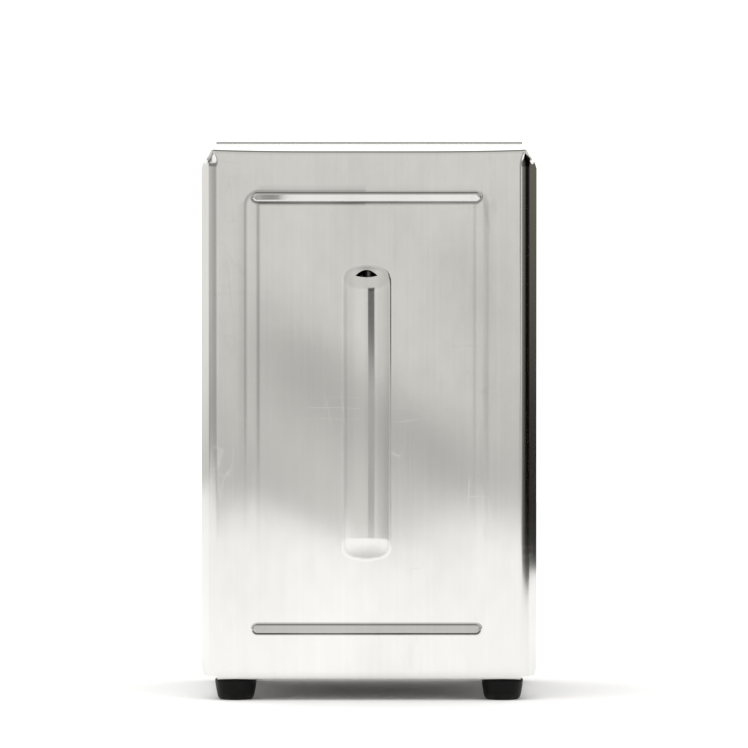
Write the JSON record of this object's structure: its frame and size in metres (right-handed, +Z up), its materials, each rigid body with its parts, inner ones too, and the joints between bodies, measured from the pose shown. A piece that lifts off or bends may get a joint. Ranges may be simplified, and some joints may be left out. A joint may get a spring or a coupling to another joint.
{
  "type": "napkin dispenser",
  "caption": "Upright stainless tabletop napkin dispenser with two closed pressed panels, a napkin opening at each end, sprung press plates and rubber feet.",
  "frame": {"origin": "middle of the base, on the surface that the feet stand on", "axes": "+Z up; +X out of the right-hand napkin opening; -Y out of the front closed panel"},
  "size_m": [0.1156, 0.104, 0.1905],
  "materials": {
    "case_steel": "polished satin stainless sheet with faint upright brushing",
    "tray_steel": "satin stainless sheet",
    "press_steel": "satin stainless sheet",
    "spring_steel": "bright spring wire",
    "rod_steel": "drawn stainless rod and plain angle brackets",
    "rivet_steel": "plain rivets and washers",
    "foot_rubber": "matt black moulded rubber"
  },
  "bodies": {
    "case": {"case_wrap": "case_steel", "base_tray": "tray_steel", "front_left_foot": "foot_rubber", "front_right_foot": "foot_rubber", "back_left_foot": "foot_rubber", "back_right_foot": "foot_rubber", "foot_washers": "rivet_steel", "foot_rivets": "rivet_steel", "front_rod": "rod_steel", "front_rod_ring": "rod_steel", "front_upper_bracket": "rod_steel", "front_lower_bracket": "rod_steel", "front_spring_coils": "spring_steel", "back_rod": "rod_steel", "back_rod_ring": "rod_steel", "back_upper_bracket": "rod_steel", "back_lower_bracket": "rod_steel", "back_spring_coils": "spring_steel"},
    "left_press": {"left_press_plate": "press_steel"},
    "right_press": {"right_press_plate": "press_steel"},
    "front_left_arm": {"front_left_bail": "spring_steel"},
    "front_right_arm": {"front_right_legs": "spring_steel"},
    "back_left_arm": {"back_left_legs": "spring_steel"},
    "back_right_arm": {"back_right_bail": "spring_steel"}
  },
  "joints": [
    {"name": "left_press_slide", "type": "slide", "parent": "case", "child": "left_press", "axis": [1, 0, 0], "range_m": [0, 0.036], "stiffness_N_per_m": 200, "springref_m": -0.03},
    {"name": "right_press_slide", "type": "slide", "parent": "case", "child": "right_press", "axis": [-1, 0, 0], "range_m": [0, 0.036], "stiffness_N_per_m": 200, "springref_m": -0.03},
    {"name": "front_left_arm_turn", "type": "hinge", "parent": "case", "child": "front_left_arm", "pos_m": [0, -0.0442, 0.1], "axis": [0, 0, 1], "range_deg": [-28, 0]},
    {"name": "front_right_arm_turn", "type": "hinge", "parent": "case", "child": "front_right_arm", "pos_m": [0, -0.0442, 0.1], "axis": [0, 0, 1], "range_deg": [0, 28]},
    {"name": "back_left_arm_turn", "type": "hinge", "parent": "case", "child": "back_left_arm", "pos_m": [0, 0.0442, 0.1], "axis": [0, 0, 1], "range_deg": [0, 28]},
    {"name": "back_right_arm_turn", "type": "hinge", "parent": "case", "child": "back_right_arm", "pos_m": [0, 0.0442, 0.1], "axis": [0, 0, 1], "range_deg": [-28, 0]}
  ],
  "couplings": [
    {"joint": "front_left_arm_turn", "follows": "left_press_slide", "rad_per_m": -13.4},
    {"joint": "front_right_arm_turn", "follows": "right_press_slide", "rad_per_m": 13.4},
    {"joint": "back_left_arm_turn", "follows": "left_press_slide", "rad_per_m": 13.4},
    {"joint": "back_right_arm_turn", "follows": "right_press_slide", "rad_per_m": -13.4}
  ]
}
